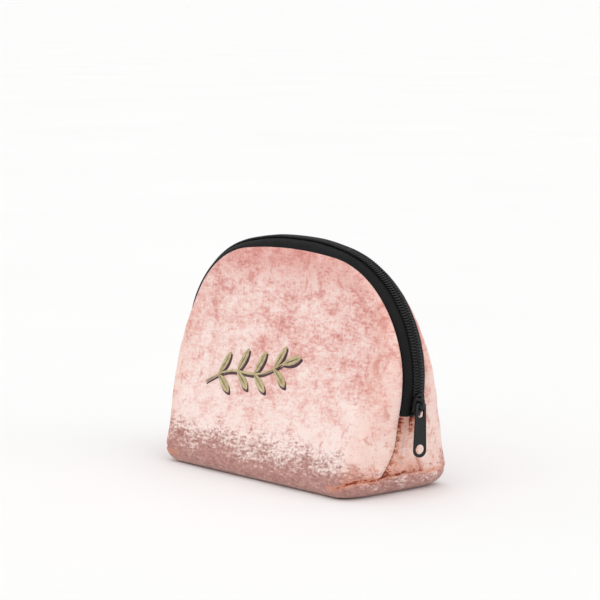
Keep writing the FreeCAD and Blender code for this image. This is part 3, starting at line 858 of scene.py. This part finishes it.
def tape_mesh(side):
    """The tape of one side: flat under the coil, then rolling over to the seam."""
    under = []
    for (y0, h0), (y1, h1) in zip(TAPE_OUTSIDE, TAPE_OUTSIDE[1:] + [TAPE_EDGE]):
        along = Vector((y1 - y0, h1 - h0)).normalized()
        under.append((y0 + along.y * TAPE_THICKNESS, h0 - along.x * TAPE_THICKNESS))
    edge = [TAPE_EDGE, (TAPE_EDGE[0], TAPE_EDGE[1] - TAPE_THICKNESS)]
    section = TAPE_OUTSIDE + edge + list(reversed(under))
    points, uvs, faces = [], [], []
    count = len(section)
    for n in range(TAPE_STATIONS + 1):
        length = ZIP_LENGTH * n / TAPE_STATIONS
        ripple = 0.12 * noise.noise(Vector((length / 6, side * 5, 0)))
        for k, (y, height) in enumerate(section):
            wave = ripple * (0.3 + smoothstep(4, 6, y))
            points.append(arch_point(length, side * y, height + wave))
            uvs.append((length * MM, k / count * TAPE_GIRTH))
    for n in range(TAPE_STATIONS):
        for k in range(count):
            a, b = n * count + k, n * count + (k + 1) % count
            faces.append((a, a + count, b + count, b) if side < 0 else (b, b + count, a + count, a))
    last = TAPE_STATIONS * count
    ends = [tuple(range(count)), tuple(reversed(range(last, last + count)))]
    faces += ends if side < 0 else [tuple(reversed(end)) for end in ends]
    return points, faces, uvs


COIL_PITCH = 1.3
COIL_WIRE = 0.36  # radius of the filament
COIL_MIDDLE = 1.38  # from the middle of the zip to the middle of one coil
COIL_REACH = 1.15  # half of a turn's width
STOP_GAP = 0.4  # from a stop to the first turn
WIRE_SIDES = 7
TURN_STEPS = 16


def coil_mesh(side):
    """One stringer: a filament wound round the tape's edge, with bulged heads where it meets the other."""
    start, end = STOP_LENGTH + STOP_GAP, ZIP_LENGTH - STOP_LENGTH - STOP_GAP
    turns = int((end - start) / COIL_PITCH)
    phase = 0.4995 if side > 0 else 0.0
    low, high = TAPE_HEIGHT + COIL_WIRE * 0.7, COIL_TOP - COIL_WIRE
    path, ups = [], []
    for n in range(turns * TURN_STEPS + 1):
        t = n / TURN_STEPS
        a = 2 * pi * t
        swing, rise = cos(a), sin(a)
        y = side * (COIL_MIDDLE - COIL_REACH * copysign(abs(swing) ** 0.8, swing))
        height = (low + high) / 2 + (high - low) / 2 * copysign(abs(rise) ** 0.7, rise)
        lag = 0.16 * sin(2 * a)
        length = min(start + (t + phase + lag) * COIL_PITCH, end)
        path.append(arch_point(length, y, height))
        ups.append(arch_point(length, y, height + 1) - path[-1])
    ups = [Vector((u.x, 0.31, u.z)).normalized() for u in ups]
    return tube(path, ups, COIL_WIRE, WIRE_SIDES)


def make_zip():
    for name, side in (("front", -1), ("back", 1)):
        points, faces, uvs = tape_mesh(side)
        tape = new_mesh(f"{name}_tape_ribbon", points, faces, black_tape, uvs=uvs)
        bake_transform(tape)
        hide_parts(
            f"{name}_fold_tape", f"{name}_zip_tape", "right_zip_end_tapes", "left_zip_end_tapes"
        )
        points, faces = coil_mesh(side)
        coil = new_mesh(f"{name}_coil_winding", points, faces, black_coil)
        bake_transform(coil)
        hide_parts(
            f"{name}_fold_coil", f"{name}_zip_coil", "right_zip_end_coils", "left_zip_end_coils"
        )


# ---- plates, slider, puller and stops

def plate(outlines, half_height, rounding):
    """Points and faces of a flat plate with round edges; outlines are closed loops of (x, y)."""
    curve = bpy.data.curves.new("plate", "CURVE")
    curve.dimensions = "2D"
    curve.fill_mode = "BOTH"
    curve.extrude = half_height - rounding
    curve.bevel_depth = rounding
    curve.bevel_resolution = 3
    curve.offset = -rounding
    for outline in outlines:
        spline = curve.splines.new("POLY")
        spline.points.add(len(outline) - 1)
        for target, (x, y) in zip(spline.points, outline):
            target.co = (x, y, 0, 1)
        spline.use_cyclic_u = True
    holder = bpy.data.objects.new("plate", curve)
    mesh = bpy.data.meshes.new_from_object(holder)
    points = [v.co.copy() for v in mesh.vertices]
    faces = [tuple(p.vertices) for p in mesh.polygons]
    bpy.data.objects.remove(holder)
    bpy.data.meshes.remove(mesh)
    bpy.data.curves.remove(curve)
    return points, faces


def arc_loop(cx, cy, radius, start, end, steps):
    """Points of an arc, angles in degrees."""
    angles = [radians(mix(start, end, n / steps)) for n in range(steps + 1)]
    return [(cx + radius * cos(a), cy + radius * sin(a)) for a in angles]


def on_slider(t, y, height):
    """Slider coordinates: t along the zip towards the crown, y across it, height above the seam outline."""
    angle = SLIDER_ANGLE + t / (SHOULDER_RADIUS + PLATE_BOTTOM)
    reach = SHOULDER_RADIUS + height
    return Vector((SHOULDER.x + reach * cos(angle), y, SHOULDER.z + reach * sin(angle)))


def slider_outline(half_length, half_broad, half_narrow):
    """Seen from above: broad and round where the two coils enter, narrower where they leave joined."""
    right = arc_loop(-half_length + 1.7, half_broad - 1.7, 1.7, 180, 90, 8)
    waist = [(0.2, half_broad - 0.1), (1.4, mix(half_broad, half_narrow, 0.45))]
    nose = arc_loop(half_length - 1.2, half_narrow - 1.2, 1.2, 70, 0, 6)
    upper = right + waist + nose
    lower = [(x, -y) for x, y in reversed(upper)]
    return upper + lower


BAIL_REACH = 2.85  # half of the bail's length along the zip
BAIL_HIGH = PLATE_TOP + 2.3
BAIL_LOW = PLATE_TOP - 0.4
BAIL_STEPS = 24
FLANGE_MIDDLE = 3.2  # from the middle of the zip to the side flanges, before they draw in
FLANGE_DRAW = 0.75
LOWER_PLATE = TAPE_HEIGHT - TAPE_THICKNESS - 0.75


def bail_path():
    """The bail's line: up from the tail of the plate, over the bar and down to the nose."""
    path = []
    for n in range(BAIL_STEPS + 1):
        a = pi * n / BAIL_STEPS
        t = -BAIL_REACH * copysign(abs(cos(a)) ** 0.55, cos(a))
        path.append(on_slider(t, 0, BAIL_LOW + (BAIL_HIGH - BAIL_LOW) * abs(sin(a)) ** 0.6))
    return path


def make_slider():
    points, faces = [], []

    def lay(shape, height, aside=lambda x: 0.0):
        placed = [on_slider(p.x, aside(p.x) + p.y, height + p.z) for p in shape[0]]
        add(points, faces, (placed, shape[1]))

    lay(plate([slider_outline(4.6, 3.4, 2.5)], 0.45, 0.3), (PLATE_BOTTOM + PLATE_TOP) / 2)
    lay(plate([slider_outline(4.4, 2.7, 2.2)], 0.45, 0.25), LOWER_PLATE)
    for sign in (1, -1):
        flange = plate([[(-4.2, -0.26), (3.9, -0.26), (3.9, 0.26), (-4.2, 0.26)]], 0.95, 0.18)
        lay(
            flange, PLATE_BOTTOM - 0.7,
            lambda x, sign=sign: sign * (FLANGE_MIDDLE - FLANGE_DRAW * smoothstep(0.0, 4.2, x)),
        )
    web = [(-3.9, -0.3), (-0.5, -0.27), (0.3, 0.0), (-0.5, 0.27), (-3.9, 0.3), (-4.3, 0.0)]
    lay(plate([web], 1.5, 0.08), PLATE_BOTTOM - 1.35)
    path = bail_path()
    add(points, faces, tube(path, [Vector((0, 1, 0))] * len(path), 0.45, 14, flat=2.0))
    body = new_mesh("slider_casting", points, faces, black_gloss)
    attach(body, "slider")
    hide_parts("slider_body")


TAG_TOP = 0.6  # above its pivot
TAG_HALF_TOP = 2.6
TAG_HALF_END = 3.3
TAG_CORNER = 1.1
TAG_BORDER = 0.7
TAG_HOLE = 2.3  # radius of the hole, whose middle is a little above the round end's
TAG_HOLE_RISE = 0.5
TAG_COLLAR = 0.6
TAG_TURN = radians(15)  # the play of its bar in the bail: turned to the front,
TAG_TILT = radians(1.4)  # off the vertical
TAG_ASIDE = -0.3  # and off the middle


def two_arcs(x, y, radius, steps, low=False):
    """A quarter of an arc on each side of the middle: over the top from right to left, or the reverse."""
    if low:
        return arc_loop(-x, y, radius, 180, 270, steps) + arc_loop(x, y, radius, 270, 360, steps)
    return arc_loop(x, y, radius, 0, 90, steps) + arc_loop(-x, y, radius, 90, 180, steps)


def make_puller():
    """A tag with a window round the bail, a round hole at its end and a slightly raised border."""
    pivot = joint_place("puller_swing")
    centre = node_box("zip_puller")[0].z - pivot.z + TAG_HALF_END
    outline = two_arcs(TAG_HALF_TOP - TAG_CORNER, TAG_TOP - TAG_CORNER, TAG_CORNER, 6)
    outline += arc_loop(0, centre, TAG_HALF_END, 180, 360, 36)
    window = two_arcs(0.7, -1.3, 0.7, 5) + two_arcs(0.4, -5.3, 1.0, 6, low=True)
    inner = two_arcs(TAG_HALF_TOP - TAG_BORDER - 0.65, -7.8, 0.6, 4)
    inner += arc_loop(0, centre, TAG_HALF_END - TAG_BORDER, 180, 360, 36)
    hole = arc_loop(0, centre + TAG_HOLE_RISE, TAG_HOLE, 0, 352.5, 47)
    collar = arc_loop(0, centre + TAG_HOLE_RISE, TAG_HOLE + TAG_COLLAR, 0, 352.5, 47)
    layers = (
        plate([outline, window, hole], 0.45, 0.25),
        plate([outline, inner, window], 0.6, 0.2),
        plate([collar, hole], 0.57, 0.2),
    )
    points, faces = [], []
    for flat, quads in layers:
        placed = []
        for p in flat:
            x = p.z * cos(TAG_TURN) + p.x * sin(TAG_TURN)
            y = p.x * cos(TAG_TURN) - p.z * sin(TAG_TURN)
            y += TAG_ASIDE + p.y * sin(TAG_TILT)
            placed.append(Vector((pivot.x + x, y, pivot.z + p.y)))
        add(points, faces, (placed, quads))
    tag = new_mesh("puller_tag", points, faces, charcoal)
    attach(tag, "puller")
    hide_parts("zip_puller")


STOP_HALF = 0.65  # along the zip
STOP_HALF_HEIGHT = 0.9


def stop_mesh(length, y0, y1):
    """A small clamp with round edges on the coil, at a length along the zip."""
    outline = [(-STOP_HALF, y0), (STOP_HALF, y0), (STOP_HALF, y1), (-STOP_HALF, y1)]
    block = plate([outline], STOP_HALF_HEIGHT, 0.3)
    middle = TAPE_HEIGHT + STOP_HALF_HEIGHT
    return [arch_point(length + p.x, p.y, middle + p.z) for p in block[0]], block[1]


def make_stops():
    place = STOP_LENGTH * 0.5 + 0.2
    points, faces = [], []
    for y0, y1 in ((-2.95, -0.5), (0.5, 2.95)):
        add(points, faces, stop_mesh(place, y0, y1))
    top = new_mesh("top_stop_pair", points, faces, black_gloss)
    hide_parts("zip_top_stops")
    points, faces = stop_mesh(ZIP_LENGTH - place, -3.1, 3.1)
    bottom = new_mesh("bottom_stop_clamp", points, faces, black_gloss)
    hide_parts("zip_bottom_stop")
    for piece in (top, bottom):
        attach(piece, "bag_body")


# ---- embroidery

STEM_MIDDLE = Vector((-21.5, 49.0))
STEM_LENGTH = 54.0
STEM_RISE = 14
STEM_WAVE = 2.5
STEM_STITCH = Vector((0.55, 0.62))  # half of a slanted stitch across the stem
LEAF_LENGTH, LEAF_WIDTH = 13.0, 4.4
LEAF_PAIRS = 4
LEAF_DEGREES = (62, -36)  # the upper and the lower leaf of a pair
LAST_LEAF_DEGREES = 20


def on_face(x, z, height):
    """A point above the front face, and the outward direction there."""
    slope = (half_depth(z + 0.1) - half_depth(z - 0.1)) / 0.2
    out = Vector((0, -1, -slope)).normalized()
    p = Vector((x, -half_depth(z), z))
    return p + out * (height + swell(p)), out


def stem_at(share):
    x = STEM_MIDDLE.x + (share - 0.5) * STEM_LENGTH
    z = STEM_MIDDLE.y + (share - 0.5) * STEM_RISE + STEM_WAVE * sin(2 * pi * share)
    return Vector((x, z))


def stitch(points, faces, a, b, height, radius, shift):
    """One strand from a to b, lying on the velvet, with both ends pulled into it."""
    steps = 6
    path, outs = [], []
    for n in range(steps + 1):
        share = n / steps
        flat = a.lerp(b, share)
        rise = height * (1 - abs(2 * share - 1) ** 3) - 0.25 * abs(2 * share - 1) ** 6
        p, out = on_face(flat.x + shift[0], flat.y + shift[1], rise)
        path.append(p)
        outs.append(out)
    add(points, faces, tube(path, outs, radius, 6, flat=0.8))


def leaf_stitches(points, faces, root, degrees, height, radius, gap, shift):
    """Satin stitch: slanted strands from the midrib out to the leaf's edge, on both sides."""
    angle = radians(degrees)
    along = Vector((cos(angle), sin(angle)))
    across = Vector((-along.y, along.x))
    count = int(LEAF_LENGTH / gap)
    for n in range(count):
        share = (n + 0.5) / count
        half = LEAF_WIDTH / 2 * sin(pi * share ** 0.85) ** 0.8
        for sign in (1, -1):
            inner = root + along * (share * LEAF_LENGTH - 0.35)
            outer = root + along * min(share * LEAF_LENGTH + 0.75 * half, LEAF_LENGTH)
            outer += across * (sign * half)
            if (outer - inner).length > 0.5:
                stitch(points, faces, inner, outer, height, radius, shift)


def sprig_stitches(height, radius, gap, shift, stem_width):
    points, faces = [], []
    for n in range(LEAF_PAIRS):
        root = stem_at((n + 0.6) / LEAF_PAIRS)
        for degrees in LEAF_DEGREES:
            leaf_stitches(points, faces, root, degrees, height, radius, gap, shift)
    leaf_stitches(points, faces, stem_at(1), LAST_LEAF_DEGREES, height, radius, gap, shift)
    count = int(STEM_LENGTH / gap)
    for n in range(count):
        share = n / count
        a = stem_at(share) - STEM_STITCH * stem_width
        b = stem_at(min(share + 0.012, 1)) + STEM_STITCH * stem_width
        stitch(points, faces, a, b, height * 1.05, radius, shift)
    return points, faces


def make_sprig():
    upper = sprig_stitches(0.55, 0.21, 0.36, (0, 0), 1.0)
    shadow = sprig_stitches(0.3, 0.2, 0.4, (1.0, -1.0), 1.1)
    for name, slot, material, (points, faces) in (
        ("gold", "gold_thread", gold, upper),
        ("plum", "shadow_thread", plum, shadow),
    ):
        piece = new_mesh(f"sprig_{name}_stitches", points, faces, material)
        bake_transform(piece)
        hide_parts(f"sprig_{slot}")


# ---- floor, lights and camera

FLOOR_REACH = 2000000  # so far that its edge is never seen


def make_floor():
    m = Nodes("pale_floor", Roughness=0.85, Specular_IOR_Level=0.2)
    colour = m.ramp(m.noise(m.place(), 3.0, 2), (0.3, (0.88, 0.88, 0.88)), (0.7, (0.90, 0.90, 0.90)))
    far = FLOOR_REACH
    corners = [(-far, -far, 0), (far, -far, 0), (far, far, 0), (-far, far, 0)]
    new_mesh("floor", corners, [(0, 1, 2, 3)], m.finish(colour))


def soft_light(name, azimuth, elevation, spread, strength, colour=(1, 1, 1)):
    """A distant light of a wide angle; its angles are in degrees."""
    back = direction(radians(azimuth), radians(elevation))
    light = bpy.data.lights.new(name, "SUN")
    light.angle = radians(spread)
    light.energy = strength
    light.color = colour
    lamp = bpy.data.objects.new(name, light)
    lamp.location = back
    lamp.rotation_euler = (-back).to_track_quat("-Z", "Y").to_euler()
    bpy.context.scene.collection.objects.link(lamp)


def make_lights():
    world = bpy.data.worlds.new("studio")
    world.use_nodes = True
    background = world.node_tree.nodes["Background"].inputs
    background["Color"].default_value = (1, 1, 1, 1)
    background["Strength"].default_value = 0.8
    bpy.context.scene.world = world
    soft_light("key", 10, 48, 50, 0.55, (1.0, 0.985, 0.965))
    soft_light("side", 95, 35, 60, 0.5, (1.0, 0.99, 0.98))
    soft_light("top", 200, 75, 60, 0.3)
    bpy.context.scene.view_settings.view_transform = "Standard"


CAMERA_AZIMUTH, CAMERA_ELEVATION = 0.858, 0.126  # radians
CAMERA_DISTANCE = 1.1682
CAMERA_TARGET = Vector((-0.00067, 0, 0.0855))
CAMERA_LENS = 143.0


def direction(azimuth, elevation):
    """The direction from which a view or a light comes, azimuth 0 from the front; in radians."""
    level = cos(elevation)
    return Vector((sin(azimuth) * level, -cos(azimuth) * level, sin(elevation)))


def make_camera():
    back = direction(CAMERA_AZIMUTH, CAMERA_ELEVATION)
    data = bpy.data.cameras.new("camera")
    data.lens = CAMERA_LENS
    data.sensor_width = 36.0
    data.clip_end = 5000
    camera = bpy.data.objects.new("camera", data)
    camera.location = CAMERA_TARGET + back * CAMERA_DISTANCE
    camera.rotation_euler = (-back).to_track_quat("-Z", "Y").to_euler()
    bpy.context.scene.collection.objects.link(camera)
    bpy.context.scene.camera = camera


make_camera()
make_panels()
make_gussets()
make_zip()
make_slider()
make_puller()
make_stops()
make_sprig()
make_floor()
make_lights()
